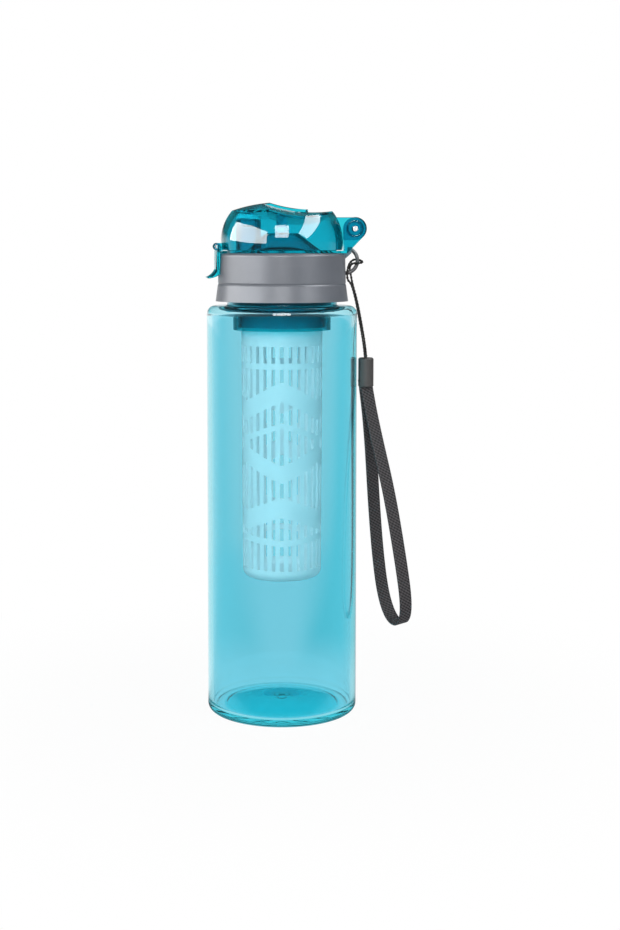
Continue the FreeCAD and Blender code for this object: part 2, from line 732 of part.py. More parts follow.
def make_infuser():
    outside = f"({neck_bore} - holder_play)"
    spigot = f"({skirt_bore} - spigot_play)"
    groove = f"({skirt_bore} - 2 * o_ring_radius)"
    ring_height = f"({skirt_foot} + o_ring_height)"
    bore = "(basket_radius + basket_play)"
    body = new_body("holder")
    sketch = new_sketch(body, "holder_outline", "XZ_Plane")
    trace(sketch, [
        (outside, holder_foot), (outside, skirt_foot), (spigot, skirt_foot),
        (spigot, f"{ring_height} - o_ring_room"), (groove, f"{ring_height} - o_ring_room"),
        (groove, f"{ring_height} + o_ring_room"), (spigot, f"{ring_height} + o_ring_room"),
        (spigot, f"{skirt_foot} + spigot_height"),
        (f"{spigot} - spigot_wall", f"{skirt_foot} + spigot_height"),
        (f"{spigot} - spigot_wall", f"{web_under} + holder_web"),
        ("lip_radius - lip_wall", f"{web_under} + holder_web"),
        ("lip_radius - lip_wall", f"{holder_foot} - lip_drop"), ("lip_radius", f"{holder_foot} - lip_drop"),
        ("lip_radius", web_under), (bore, web_under), (bore, f"{holder_foot} + holder_inner_lift"),
        (f"{bore} + holder_inner_wall", f"{holder_foot} + holder_inner_lift"),
        (f"{bore} + holder_inner_wall", web_under), (f"{outside} - holder_wall", web_under),
        (f"{outside} - holder_wall", holder_foot),
    ])
    revolved(body, "holder_turned", sketch)
    keep(body, "infuser_holder")

    body = new_body("holder_ring")
    sketch = new_sketch(body, "holder_ring_outline", "XZ_Plane")
    ring(sketch, f"{skirt_bore} - o_ring_radius", ring_height, "o_ring_radius")
    revolved(body, "holder_ring_turned", sketch)
    keep(body, "holder_o_ring")

    body = new_body("basket")
    inner_foot = f"({basket_foot} + basket_floor)"
    inner_corner = "(basket_corner - basket_wall)"
    sketch = new_sketch(body, "basket_outline", "XZ_Plane")
    trace(sketch, [
        ("0", basket_foot), ("basket_foot_radius - basket_corner", basket_foot, "basket_corner", "left"),
        ("basket_foot_radius", f"{basket_foot} + basket_corner"),
        ("basket_radius", holder_foot), ("basket_radius", basket_rim),
        ("basket_radius - basket_wall", basket_rim), ("basket_radius - basket_wall", holder_foot),
        ("basket_foot_radius - basket_wall", f"{inner_foot} + {inner_corner}", inner_corner, "right"),
        (f"basket_foot_radius - basket_wall - {inner_corner}", inner_foot), ("0", inner_foot),
    ])
    revolved(body, "basket_turned", sketch)
    # columns of slots, each a row of blocks that goes through the wall on one side
    half = columns_in_a_zigzag // 2
    slots_from = "(basket_foot_radius - basket_wall - slot_width)"
    upright = FreeCAD.Rotation(FreeCAD.Vector(1, 0, 0), 90)
    slope_share = number("slot_width") / (2 * math.pi * number("basket_radius") / columns)
    blocks = []
    for column in range(columns):
        spread = abs((column + half) % columns_in_a_zigzag - half) / half
        steps = [abs((column + half + s) % columns_in_a_zigzag - half) / half - spread for s in (-0.5, 0.5)]
        sketch = doc.addObject("Sketcher::SketchObject", "slots_%d" % column)
        spin = FreeCAD.Rotation(FreeCAD.Vector(0, 0, 1), 360 / columns * column)
        inside = FreeCAD.Vector(0, -number(slots_from), 0)
        sketch.Placement = FreeCAD.Placement(spin.multVec(inside), spin * upright)
        for low_a, high_a, low_b, high_b in row_shares:
            if high_a + (high_b - high_a) * spread - low_a - (low_b - low_a) * spread < least_slot_share:
                continue
            ends = []
            for a, b in ((low_a, low_b), (high_a, high_b)):
                ends.append([a + (b - a) * (spread + step * slope_share) for step in steps])
            places = [("-slot_width / 2", ends[0][0]), ("slot_width / 2", ends[0][1]),
                      ("slot_width / 2", ends[1][1]), ("-slot_width / 2", ends[1][0])]
            trace(sketch, [(x, f"{basket_foot} + grille_foot + grille_height * {share:.5f}")
                           for x, share in places])
        block = doc.addObject("Part::Extrusion", "slot_column_%d" % column)
        block.Base = sketch
        block.DirMode = "Normal"
        block.Solid = True
        block.setExpression("LengthFwd", bound(f"basket_radius + {overrun} - {slots_from}"))
        blocks.append(block)
    doc.recompute()
    plates = doc.addObject("Part::Compound", "slot_columns")
    plates.Links = blocks
    body = cut("basket_slotted", body, plates)
    keep(body, "infuser_basket")


def make_loop():
    # a half ring from the collar's side up to the post of the rear lug
    centre_x = f"({loop_reach} - loop_bend)"
    centre_z = f"({collar_top} - loop_drop)"
    start = f"({centre_z} - loop_bend)"
    inner = "(collar_top_radius - loop_depth)"
    hang_x = f"({centre_x} + loop_bend * cos(loop_hang))"
    hang_z = f"({centre_z} - loop_bend * sin(loop_hang))"
    body = new_body("loop")
    path = new_sketch(body, "loop_path", "XZ_Plane")
    trace(path, [
        (inner, start), (centre_x, start, "loop_bend", "left"),
        (f"{centre_x} + loop_bend * cos(loop_end)", f"{centre_z} + loop_bend * sin(loop_end)"),
    ], closed=False)
    sketch = new_sketch(body, "loop_section", "YZ_Plane", lift=inner)
    ring(sketch, "0", start, "loop_radius")
    pipe = body.newObject("PartDesign::AdditivePipe", "loop_bar")
    pipe.Profile = sketch
    pipe.Spine = (path, [])
    doc.recompute()
    keep(body, "strap_loop")
    return body, FreeCAD.Vector(number(hang_x), 0, number(hang_z))


# A route's straight runs and tangent arcs, as (kind, points) pieces.
def softened(points):
    pieces, before = [], points[0]
    for i in range(1, len(points) - 1):
        back, ahead = points[i - 1] - points[i], points[i + 1] - points[i]
        shorter = min(back.Length, ahead.Length)
        turn = math.pi - back.getAngle(ahead)
        cut_back = bend_share * shorter
        a = points[i] + back.normalize() * cut_back
        c = points[i] + ahead.normalize() * cut_back
        radius = cut_back / math.tan(turn / 2)
        inward = (back + ahead).normalize()
        b = points[i] + inward * (radius / math.cos(turn / 2) - radius)
        pieces += [("run", (before, a)), ("bend", (a, b, c), radius)]
        before = c
    return pieces + [("run", (before, points[-1]))]


def make_strap(low):
    V = FreeCAD.Vector
    reach, top = number(sleeve_reach), number(sleeve_top)
    foot = top - number("sleeve_length")
    # the thin string hangs doubled on the loop's low part, clears the shoulder and goes into the sleeve
    r, slant = number("string_radius"), math.radians(number("loop_hang"))
    bar = low
    away = number("loop_radius") + r + number("string_play")
    strand = number("string_radius") + number("string_play")
    into = V(reach, 0, top - number("string_depth"))
    up = (bar - into).normalize()
    along = V(math.sin(slant), 0, math.cos(slant))
    climb = number("loop_radius") / math.sin(up.getAngle(along))
    rise = up * (climb + r + number("string_play"))
    across = V(0, away, 0)
    side = V(0, strand, 0)
    past = V(number("body_radius + string_stand") + r, 0, number("shoulder_height"))
    halfway = (across + side) / 2
    route = [into - side, past - halfway, bar - across + rise,
             bar + across + rise, past + halfway, into + side]
    edges = []
    for piece in softened(route):
        edges.append((Part.LineSegment if piece[0] == "run" else Part.Arc)(*piece[1]).toShape())
    print("string radii", [round(p[2], 2) for p in softened(route) if p[0] == "bend"])
    path = Part.Wire(edges)
    section = Part.Wire(Part.makeCircle(r, route[0], (route[1] - route[0]).normalize()))
    string = doc.addObject("Part::Feature", "string")
    string.Shape = path.makePipeShell([section], True, True)
    print("string length", round(path.Length, 1), "volume", round(string.Shape.Volume, 1),
          "section times length", round(math.pi * r ** 2 * path.Length, 1))
    print("string route", [[round(c, 2) for c in p] for p in route])

    # the webbing is a flat band in the plane of its loop
    points = [V(x, 0, -z) for x, z in webbing_route]
    half, wide = number("webbing_thickness") / 2, number("webbing_width")
    pieces = softened(points)

    def beside(p, q, at, away):
        along = (q - p).normalize()
        return at + V(along.z, 0, -along.x) * away

    def edge_of(away):
        made = []
        for i, piece in enumerate(pieces):
            spots = piece[1]
            if piece[0] == "run":
                p, q = spots
                made.append(Part.LineSegment(beside(p, q, p, away), beside(p, q, q, away)).toShape())
            else:
                before, after = pieces[i - 1][1], pieces[i + 1][1]
                a, c = beside(*before, spots[0], away), beside(*after, spots[2], away)
                b = beside(spots[0], spots[2], spots[1], away)
                made.append(Part.Arc(a, b, c).toShape())
        return made

    first, second = edge_of(half), edge_of(-half)
    ends = [Part.LineSegment(first[0].Vertexes[0].Point, second[0].Vertexes[0].Point).toShape(),
            Part.LineSegment(first[-1].Vertexes[-1].Point, second[-1].Vertexes[-1].Point).toShape()]
    outline = Part.Wire(Part.__sortEdges__(first + second + ends))
    band = Part.Face(outline).extrude(V(0, wide, 0))
    band.translate(V(0, -wide / 2, 0))
    webbing = doc.addObject("Part::Feature", "webbing")
    webbing.Shape = band
    lean = FreeCAD.Rotation(V(0, 1, 0), -number("webbing_lean"))
    spin = FreeCAD.Rotation(V(0, 0, 1), -number("webbing_turn"))
    webbing.Placement = FreeCAD.Placement(V(reach, 0, foot), lean * spin)
    length = sum((Part.LineSegment if p[0] == "run" else Part.Arc)(*p[1]).length() for p in pieces)
    print("webbing radii", [round(p[2], 1) for p in pieces if p[0] == "bend"], "length", round(length, 1),
          "volume", round(band.Volume, 1), "section times length", round(2 * half * wide * length, 1))
    print("webbing route", [[round(c, 2) for c in webbing.Placement.multVec(p)] for p in points])

    body = new_body("sleeve_blank")
    sketch = new_sketch(body, "sleeve_outline", "XZ_Plane")
    low_end = f"({sleeve_top} - sleeve_length)"
    trace(sketch, [
        ("0", low_end), ("sleeve_radius - sleeve_edge", low_end),
        ("sleeve_radius", f"{low_end} + sleeve_edge"),
        ("sleeve_radius", f"{sleeve_top} - sleeve_edge"), ("sleeve_radius - sleeve_edge", sleeve_top),
        ("0", sleeve_top),
    ])
    revolved(body, "sleeve_turned", sketch)
    body.setExpression("Placement.Base.x", bound(sleeve_reach))
    doc.recompute()
    keep(string, "strap_string")
    keep(cut("sleeve_with_sockets", cut("sleeve_over_string", body, string), webbing), "strap_sleeve")
    keep(webbing, "strap_webbing")


make_bottle()
make_gasket()
loop, low = make_loop()
make_collar(loop)
make_insert()
make_lid()
make_plugs()
make_latch()
make_infuser()
make_strap(low)
doc.recompute()

wrong = [o.Name for o in doc.Objects if {"Invalid", "Error"} & set(o.State)]
for piece in exported:
    shape = piece.Shape
    sound = not shape.isNull() and shape.isValid() and len(shape.Solids) == 1
    if not sound:
        wrong.append(piece.Label)
    print(piece.Label, "sound", sound, "volume", round(shape.Volume, 1))
if wrong:
    raise RuntimeError("these objects are wrong: " + ", ".join(wrong))
os.makedirs("parts", exist_ok=True)
for piece in exported:
    piece.Shape.exportStep("parts/" + piece.Label + ".step")
print("wrote", len(exported), "parts")
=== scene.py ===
import json
import math

import bpy
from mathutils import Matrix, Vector

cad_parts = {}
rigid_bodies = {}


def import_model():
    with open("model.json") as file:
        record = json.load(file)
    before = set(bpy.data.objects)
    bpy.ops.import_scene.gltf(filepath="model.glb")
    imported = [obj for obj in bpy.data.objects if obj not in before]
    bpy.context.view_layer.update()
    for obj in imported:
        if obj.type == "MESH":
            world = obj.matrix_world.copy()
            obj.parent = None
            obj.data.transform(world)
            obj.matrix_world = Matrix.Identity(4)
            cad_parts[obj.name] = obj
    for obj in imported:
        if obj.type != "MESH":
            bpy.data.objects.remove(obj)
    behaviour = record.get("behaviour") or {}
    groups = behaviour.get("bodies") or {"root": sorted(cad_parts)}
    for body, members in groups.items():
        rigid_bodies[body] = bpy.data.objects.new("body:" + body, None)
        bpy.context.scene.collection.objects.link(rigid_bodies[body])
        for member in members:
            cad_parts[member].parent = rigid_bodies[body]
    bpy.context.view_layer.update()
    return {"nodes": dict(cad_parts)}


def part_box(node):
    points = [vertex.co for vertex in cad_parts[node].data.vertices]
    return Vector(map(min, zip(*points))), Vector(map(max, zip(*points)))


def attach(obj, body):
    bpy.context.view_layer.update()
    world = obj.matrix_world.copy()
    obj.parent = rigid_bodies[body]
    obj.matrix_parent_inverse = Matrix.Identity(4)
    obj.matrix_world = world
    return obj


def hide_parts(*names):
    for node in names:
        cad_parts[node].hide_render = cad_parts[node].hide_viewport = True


for left in list(bpy.data.objects):
    bpy.data.objects.remove(left)  # a new file's own cube, lamp and camera
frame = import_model()
nodes = frame["nodes"]
mm = 0.001
print("frame loaded,", len(nodes), "solids")


# camera at the photograph's angle: level with the cap and tipped down a little
cameraPlace = {"back": 0.7213, "height": 0.2216, "tipDown": 4.19, "lens": 58.12,
               "shiftX": 0.0302, "shiftY": -0.1105}

bpy.ops.object.camera_add(
    location=(0, -cameraPlace["back"], cameraPlace["height"]),
    rotation=(math.radians(90 - cameraPlace["tipDown"]), 0, 0),
)
camera = bpy.context.object
camera.data.lens = cameraPlace["lens"]
camera.data.shift_x = cameraPlace["shiftX"]
camera.data.shift_y = cameraPlace["shiftY"]
bpy.context.scene.camera = camera
print("camera placed")


# small tools for the pieces

def pickOnly(obj):
    bpy.ops.object.select_all(action="DESELECT")
    obj.select_set(True)
    bpy.context.view_layer.objects.active = obj


def turnOutAndSmooth(smoothAngle, closeEnds=False):
    # in edit mode: open ends are closed, faces point outwards, and only sharp edges stay sharp
    if closeEnds:
        bpy.ops.mesh.select_all(action="SELECT")
        bpy.ops.mesh.fill_holes(sides=0)
    bpy.ops.mesh.select_all(action="SELECT")
    bpy.ops.mesh.normals_make_consistent(inside=False)
    bpy.ops.object.mode_set(mode="OBJECT")
    bpy.ops.object.shade_smooth_by_angle(angle=math.radians(smoothAngle))


def arcSteps(centre, radius, start, end, steps):
    spots = []
    for i in range(steps + 1):
        turn = math.radians(start + (end - start) * i / steps)
        spots.append((centre[0] + radius * math.cos(turn), centre[1] + radius * math.sin(turn)))
    return spots


def latheRings(name, outline, segments, smoothAngle):
    # a ring extruded and scaled from one outline point to the next, then closed at both ends
    radius, height = outline[0]
    bpy.ops.object.select_all(action="DESELECT")
    bpy.ops.mesh.primitive_circle_add(vertices=segments, radius=radius * mm, location=(0, 0, 0))
    obj = bpy.context.object
    obj.name = name
    bpy.ops.object.mode_set(mode="EDIT")
    bpy.ops.mesh.select_all(action="SELECT")
    bpy.ops.transform.translate(value=(0, 0, height * mm))
    for nextRadius, nextHeight in outline[1:]:
        bpy.ops.mesh.extrude_region_move(
            TRANSFORM_OT_translate={"value": (0, 0, (nextHeight - height) * mm)})
        share = nextRadius / radius
        bpy.ops.transform.resize(value=(share, share, 1), center_override=(0, 0, nextHeight * mm))
        radius, height = nextRadius, nextHeight
    turnOutAndSmooth(smoothAngle, closeEnds=True)
    return obj


def splinePoints(route):
    # the smooth line of a cord, read from a NURBS spline with the route as its control points
    curve = bpy.data.curves.new("routeLine", "CURVE")
    curve.dimensions = "3D"
    spline = curve.splines.new("NURBS")
    spline.points.add(len(route) - 1)
    for point, spot in zip(spline.points, route):
        point.co = (*[c * mm for c in spot], 1)
    spline.order_u = 3
    spline.use_endpoint_u = True
    spline.resolution_u = 12  # points between two of the route's own
    line = bpy.data.objects.new("routeLine", curve)
    bpy.context.scene.collection.objects.link(line)
    bpy.context.view_layer.update()
    mesh = bpy.data.meshes.new_from_object(line.evaluated_get(bpy.context.evaluated_depsgraph_get()))
    spots = [v.co.copy() for v in mesh.vertices]
    bpy.data.objects.remove(line)
    bpy.data.meshes.remove(mesh)
    bpy.data.curves.remove(curve)
    return spots


def sweep(name, spots, section, side=None, twist=0.0, smoothAngle=40):
    # rings of the section along the spots; side is the way its first axis keeps, twist its turn per metre
    verts, rings, lengths = [], [], [0.0]
    for a, b in zip(spots, spots[1:]):
        lengths.append(lengths[-1] + (b - a).length)
    across = Vector(side) if side else (spots[1] - spots[0]).orthogonal().normalized()
    around = [0.0]
    for a, b in zip(section, section[1:] + section[:1]):
        around.append(around[-1] + math.dist(a, b))
    for i, spot in enumerate(spots):
        along = (spots[min(i + 1, len(spots) - 1)] - spots[max(i - 1, 0)]).normalized()
        base = Vector(side) if side else across
        across = (base - along * base.dot(along)).normalized()
        up = along.cross(across)
        turn = twist * lengths[i]
        c, s = math.cos(turn), math.sin(turn)
        rings.append(range(len(verts), len(verts) + len(section)))
        verts += [spot + across * (a * c - b * s) + up * (a * s + b * c) for a, b in section]
    faces, marks = [], []
    count = len(section)
    for i in range(len(rings) - 1):
        for k in range(count):
            j = (k + 1) % count
            faces.append((rings[i][k], rings[i + 1][k], rings[i + 1][j], rings[i][j]))
            marks.append([(around[k], lengths[i]), (around[k], lengths[i + 1]),
                          (around[k + 1], lengths[i + 1]), (around[k + 1], lengths[i])])
    for ring in (rings[0], list(reversed(rings[-1]))):
        faces.append(tuple(ring))
        marks.append([(0, 0)] * count)
    mesh = bpy.data.meshes.new(name)
    mesh.from_pydata(verts, [], faces)
    layer = mesh.uv_layers.new(name="cordMap")
    for face, spotsOfFace in zip(mesh.polygons, marks):
        for corner, mark in zip(face.loop_indices, spotsOfFace):
            layer.data[corner].uv = mark
    obj = bpy.data.objects.new(name, mesh)
    bpy.context.scene.collection.objects.link(obj)
    pickOnly(obj)
    bpy.ops.object.mode_set(mode="EDIT")
    turnOutAndSmooth(smoothAngle)
    return obj


# the bottle: the same outline as the solid, with a ring and a moulding gate in its base
bottleSizes = {
    "bodyRadius": 36.0, "wall": 2.4, "floor": 3.0, "heel": 3.0, "pushUpRadius": 27.8, "pushUp": 2.4,
    "pushUpEdge": 0.3, "edgeOut": 0.05, "edgeIn": 0.12, "shoulder": 196.2, "shoulderCorner": 3.8,
    "neckRadius": 26.4, "neckBore": 24.0, "neckFillet": 0.7, "rim": 216.0, "rimEdge": 0.6,
    "gateRadius": 2.3, "gateDepth": 0.3, "gateStep": 0.2, "gateFlat": 0.4, "gateLip": 0.3, "axisHole": 0.3,
    "dimpleRadius": 2.5, "dimpleEdge": 0.6, "dimpleDepth": 0.25, "ringRadius": 25.9, "ringWidth": 0.6,
    "ringDepth": 0.06, "ringLead": 4, "wallRings": (60, 120, 170), "neckRing": 206, "boreRing": 204,
    "floorRings": (25, 21, 17, 13, 9, 5), "heelSteps": 8, "cornerSteps": 10, "edgeSteps": 5,
    "segments": 160, "smoothAngle": 32,
}


def bottleOutline(s):
    bowl = (s["pushUpRadius"] ** 2 + s["pushUp"] ** 2) / (2 * s["pushUp"])

    def dome(radius):
        return s["pushUp"] - bowl + math.sqrt(bowl ** 2 - radius ** 2)

    # under the base, from the gate on the axis out to the heel
    gate, ring, wide = s["gateRadius"], s["ringRadius"], s["ringWidth"]
    pushUp, edge = s["pushUpRadius"], s["pushUpEdge"]
    lead = ring - s["ringLead"]
    spots = [(s["axisHole"], dome(0) - s["gateDepth"]), (gate - s["gateFlat"], dome(gate) - s["gateDepth"]),
             (gate, dome(gate) - s["gateStep"]), (gate + s["gateLip"], dome(gate)),
             (lead, dome(lead)), (ring - wide, dome(ring - wide)),
             (ring - wide / 2, dome(ring) + s["ringDepth"]), (ring + wide / 2, dome(ring) + s["ringDepth"]),
             (ring + wide, dome(ring + wide)), (pushUp - edge, s["edgeOut"]), (pushUp + edge, 0)]

    # up the outside: heel, wall, shoulder, neck and rim
    body, heel, corner = s["bodyRadius"], s["heel"], s["shoulderCorner"]
    neck, bore, fillet, rimEdge = s["neckRadius"], s["neckBore"], s["neckFillet"], s["rimEdge"]
    spots += arcSteps((body - heel, heel), heel, -90, 0, s["heelSteps"])
    spots += [(body, height) for height in s["wallRings"]]
    spots += arcSteps((body - corner, s["shoulder"] - corner), corner, 0, 90, s["cornerSteps"])
    spots += arcSteps((neck + fillet, s["shoulder"] + fillet), fillet, 270, 180, s["edgeSteps"])
    spots += [(neck, s["neckRing"])]
    spots += arcSteps((neck - rimEdge, s["rim"] - rimEdge), rimEdge, 0, 90, s["edgeSteps"])

    # down the inside to the dimple over the gate
    under, inside, inner = s["shoulder"] - s["wall"], body - s["wall"], corner - s["wall"] / 2
    spots += arcSteps((bore + rimEdge, s["rim"] - rimEdge), rimEdge, 90, 180, s["edgeSteps"])
    spots += [(bore, s["boreRing"])]
    spots += arcSteps((bore + fillet, under + fillet), fillet, 180, 270, s["edgeSteps"])
    spots += arcSteps((inside - inner, under - inner), inner, 90, 0, s["cornerSteps"])
    spots += [(inside, height) for height in reversed(s["wallRings"])]
    spots += arcSteps((inside - heel, s["floor"] + heel), heel, 0, -90, s["heelSteps"])
    spots += [(pushUp + edge, s["floor"]), (pushUp - edge, s["floor"] + s["edgeIn"])]
    spots += [(radius, dome(radius) + s["floor"]) for radius in s["floorRings"]]
    dimple, sunk = s["dimpleRadius"], s["floor"] - s["dimpleDepth"]
    spots += [(dimple + s["dimpleEdge"], dome(gate) + s["floor"]), (dimple, dome(gate) + sunk),
              (s["axisHole"], dome(0) + sunk)]
    return spots


bottle = latheRings("bottleShell", bottleOutline(bottleSizes), bottleSizes["segments"],
                    bottleSizes["smoothAngle"])
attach(bottle, "bottle")
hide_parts("bottle_body")
print("bottle turned,", len(bottle.data.polygons), "faces")


# the neck's screw thread
threadSizes = {
    "root": 26.2, "crest": 27.45, "rootHeight": 2.0, "crestHeight": 0.8, "start": 201.2, "pitch": 4.0,
    "turns": 3, "steps": 72, "runOut": 14, "sink": 0.2, "tail": 0.05, "smoothAngle": 50,
}


def makeThread(s):
    bpy.ops.object.select_all(action="DESELECT")
    bpy.ops.mesh.primitive_plane_add(size=1)
    obj = bpy.context.object
    obj.name = "neckThread"
    bpy.ops.object.mode_set(mode="EDIT")
    bpy.ops.mesh.select_all(action="SELECT")
    bpy.ops.mesh.delete(type="ONLY_FACE")
    bpy.ops.object.mode_set(mode="OBJECT")
    for v in obj.data.vertices:
        radius, tall = (s["crest"], s["crestHeight"]) if v.co.x > 0 else (s["root"], s["rootHeight"])
        v.co = (radius * mm, 0, (s["start"] + math.copysign(tall / 2, v.co.y)) * mm)
    pickOnly(obj)
    screw = obj.modifiers.new("thread", "SCREW")
    screw.axis = "Z"
    screw.angle = math.radians(360)
    screw.screw_offset = s["pitch"] * mm
    screw.iterations = s["turns"]
    screw.steps = screw.render_steps = s["steps"]
    bpy.ops.object.modifier_apply(modifier=screw.name)
    # both ends run out into the neck
    last, sunk = s["turns"] * s["steps"], (s["root"] - s["sink"]) * mm
    for v in obj.data.vertices:
        turn = math.atan2(v.co.y, v.co.x) % (2 * math.pi)
        lift = (v.co.z / mm - s["start"]) / s["pitch"] * s["steps"]
        step = turn / (2 * math.pi) * s["steps"]
        step += s["steps"] * round((lift - step) / s["steps"])
        share = max(min(step, last - step, s["runOut"]), 0) / s["runOut"]
        radius = math.hypot(v.co.x, v.co.y)
        shrunk = sunk + (radius - sunk) * (s["tail"] + (1 - s["tail"]) * share)
        v.co.x, v.co.y = v.co.x * shrunk / radius, v.co.y * shrunk / radius
    bpy.ops.object.mode_set(mode="EDIT")
    turnOutAndSmooth(s["smoothAngle"], closeEnds=True)
    return obj


thread = makeThread(threadSizes)
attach(thread, "bottle")
print("thread wound")


# the strap's webbing: a flat woven band in one loop out of the sleeve and back
webbingSizes = {"width": 6.6, "thick": 1.1, "edge": 0.4, "edgeSteps": 4, "flatSteps": 6, "length": 253.8,
                "across": (0.873, 0.469, 0.1305)}
webbingRoute = [
    (40.16, -0.57, 160.8), (42.05, -0.79, 148.95), (45.78, -2.83, 131.31), (51.66, -6.71, 105.9),
    (57.04, -7.95, 74.35), (60.26, -7.59, 51.57), (58.98, -2.21, 40.76), (54.19, 6.62, 41.06),
    (50.12, 11.13, 52.08), (47.29, 10.6, 72.89), (44.92, 7.24, 100.85), (43.1, 2.83, 128.89),
    (41.21, 0.79, 148.83), (39.56, 0.57, 160.71),
]


def bandSection(s):
    # a flat oblong with rounded edges, in metres
    half, thin, edge = s["width"] / 2 * mm, s["thick"] / 2 * mm, s["edge"] * mm
    spots = []
    for x, y, start in ((half - edge, thin - edge, 0), (-half + edge, thin - edge, 90),
                        (-half + edge, -thin + edge, 180), (half - edge, -thin + edge, 270)):
        spots += arcSteps((x, y), edge, start, start + 90, s["edgeSteps"])
        if start in (0, 180):  # along a flat face to the next corner
            level = y + math.copysign(edge, y)
            spots += [(x - 2 * x * i / s["flatSteps"], level) for i in range(1, s["flatSteps"])]
    return spots


webbingLine = splinePoints(webbingRoute)
webbing = sweep("strapBand", webbingLine, bandSection(webbingSizes), side=webbingSizes["across"])
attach(webbing, "cap")
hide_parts("strap_webbing")
print("webbing laid")


# rounded beads of the moulding: a rim in the dish at each end of the hinge, a low seat inside the lid's foot
rimSizes = {"radius": 3.55, "width": 0.42, "height": 0.34, "corners": 16, "steps": 72, "turn": (0, 1, 0)}
seatSizes = {"radius": 25.7, "width": 0.6, "height": 0.17, "corners": 12, "steps": 180, "turn": (0, 0, 1),
             "flangeTop": 222.3}


def turnBead(name, s, middle):
    # an oval section spun once round its axis; it is drawn flat, so it stands up first where the axis does
    bpy.ops.object.select_all(action="DESELECT")
    bpy.ops.mesh.primitive_circle_add(vertices=s["corners"], radius=s["width"] * mm, location=(0, 0, 0))
    obj = bpy.context.object
    obj.name = name
    bpy.ops.object.mode_set(mode="EDIT")
    bpy.ops.mesh.select_all(action="SELECT")
    bpy.ops.transform.resize(value=(1, s["height"] / s["width"], 1), center_override=(0, 0, 0))
    if s["turn"] == (0, 0, 1):
        bpy.ops.transform.rotate(value=math.pi / 2, orient_axis="X", center_override=(0, 0, 0))
    bpy.ops.transform.translate(value=(middle[0] + s["radius"] * mm, middle[1], middle[2]))
    bpy.ops.mesh.spin(steps=s["steps"], angle=2 * math.pi, center=middle, axis=s["turn"])
    bpy.ops.mesh.select_all(action="SELECT")
    bpy.ops.mesh.remove_doubles(threshold=1e-6)
    bpy.ops.mesh.select_all(action="SELECT")
    bpy.ops.mesh.normals_make_consistent(inside=False)
    bpy.ops.object.mode_set(mode="OBJECT")
    bpy.ops.object.shade_smooth()
    return obj


pinLow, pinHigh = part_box("hinge_pin")
hingeX, hingeZ = (pinLow[0] + pinHigh[0]) / 2, (pinLow[2] + pinHigh[2]) / 2
rise = rimSizes["height"] * mm
beads = [turnBead("hingeRim.front", rimSizes, (hingeX, pinLow[1] - rise, hingeZ)),
         turnBead("hingeRim.back", rimSizes, (hingeX, pinHigh[1] + rise, hingeZ)),
         turnBead("lidSeat", seatSizes, (0, 0, (seatSizes["flangeTop"] + seatSizes["height"]) * mm))]
for bead in beads:
    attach(bead, "cap")
print("beads turned")


# the thin string: out of the sleeve, through the eye, round its bar and back
stringSizes = {"radius": 0.6, "lobe": 0.09, "corners": 14, "twistTurns": 300, "length": 115.0}
stringRoute = [
    (40.0, -0.5, 168.0), (39.8, -0.5, 174.0), (37.5, -0.5, 187.5), (35.4, -0.5, 199.0), (33.3, -1.2, 206.6),
    (31.3, -2.0, 208.4), (31.2, -2.0, 212.0), (31.9, -0.6, 215.6), (33.8, 1.2, 217.9), (36.0, 2.4, 218.2),
    (38.6, 1.2, 217.4), (38.4, -1.5, 216.6), (36.0, -2.3, 216.3), (33.6, -1.2, 216.4), (32.3, 0.6, 214.4),
    (33.0, 2.2, 211.4), (34.0, 1.3, 206.0), (36.1, 0.5, 198.6), (38.35, 0.5, 187.5), (40.65, 0.5, 174.0),
    (40.85, 0.5, 168.0),
]


def plySection(s):
    # two plies: a round section pinched on two sides
    spots = []
    for i in range(s["corners"]):
        turn = 2 * math.pi * i / s["corners"]
        radius = (s["radius"] - s["lobe"] + s["lobe"] * math.cos(2 * turn)) * mm
        spots.append((radius * math.cos(turn), radius * math.sin(turn)))
    return spots


stringLine = splinePoints(stringRoute)
string = sweep("strapCord", stringLine, plySection(stringSizes),
               twist=stringSizes["twistTurns"] * 2 * math.pi)
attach(string, "cap")
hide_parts("strap_string")
print("string threaded")


# shared surface effects, as node groups

def newGroup(name, inputs, outputs):
    tree = bpy.data.node_groups.new(name, "ShaderNodeTree")
    for label, kind, value in inputs:
        socket = tree.interface.new_socket(label, in_out="INPUT", socket_type=kind)
        if value is not None:
            socket.default_value = value
    for label, kind in outputs:
        tree.interface.new_socket(label, in_out="OUTPUT", socket_type=kind)
    return tree, tree.nodes.new("NodeGroupInput"), tree.nodes.new("NodeGroupOutput")


def put(tree, kind, **values):
    node = tree.nodes.new(kind)
    for label, value in values.items():
        if hasattr(node, label):
            setattr(node, label, value)
        else:
            node.inputs[label.replace("_", " ")].default_value = value
    return node


def wire(tree, source, target):
    tree.links.new(source, target)


def sums(tree, operation, first, second=0.0):
    node = tree.nodes.new("ShaderNodeMath")
    node.operation = operation
    for socket, value in zip(node.inputs, (first, second)):
        if isinstance(value, (int, float)):
            socket.default_value = value
        else:
            tree.links.new(value, socket)
    return node.outputs[0]


def spread(tree, value, low, high, start=0.0, end=1.0, bend="LINEAR"):
    node = put(tree, "ShaderNodeMapRange", interpolation_type=bend, From_Min=start, From_Max=end,
               To_Min=low, To_Max=high)
    wire(tree, value, node.inputs["Value"])
    return node.outputs["Result"]


def eased(tree, value, start, end, low=0.0, high=1.0):
    return spread(tree, value, low, high, start, end, "SMOOTHSTEP")


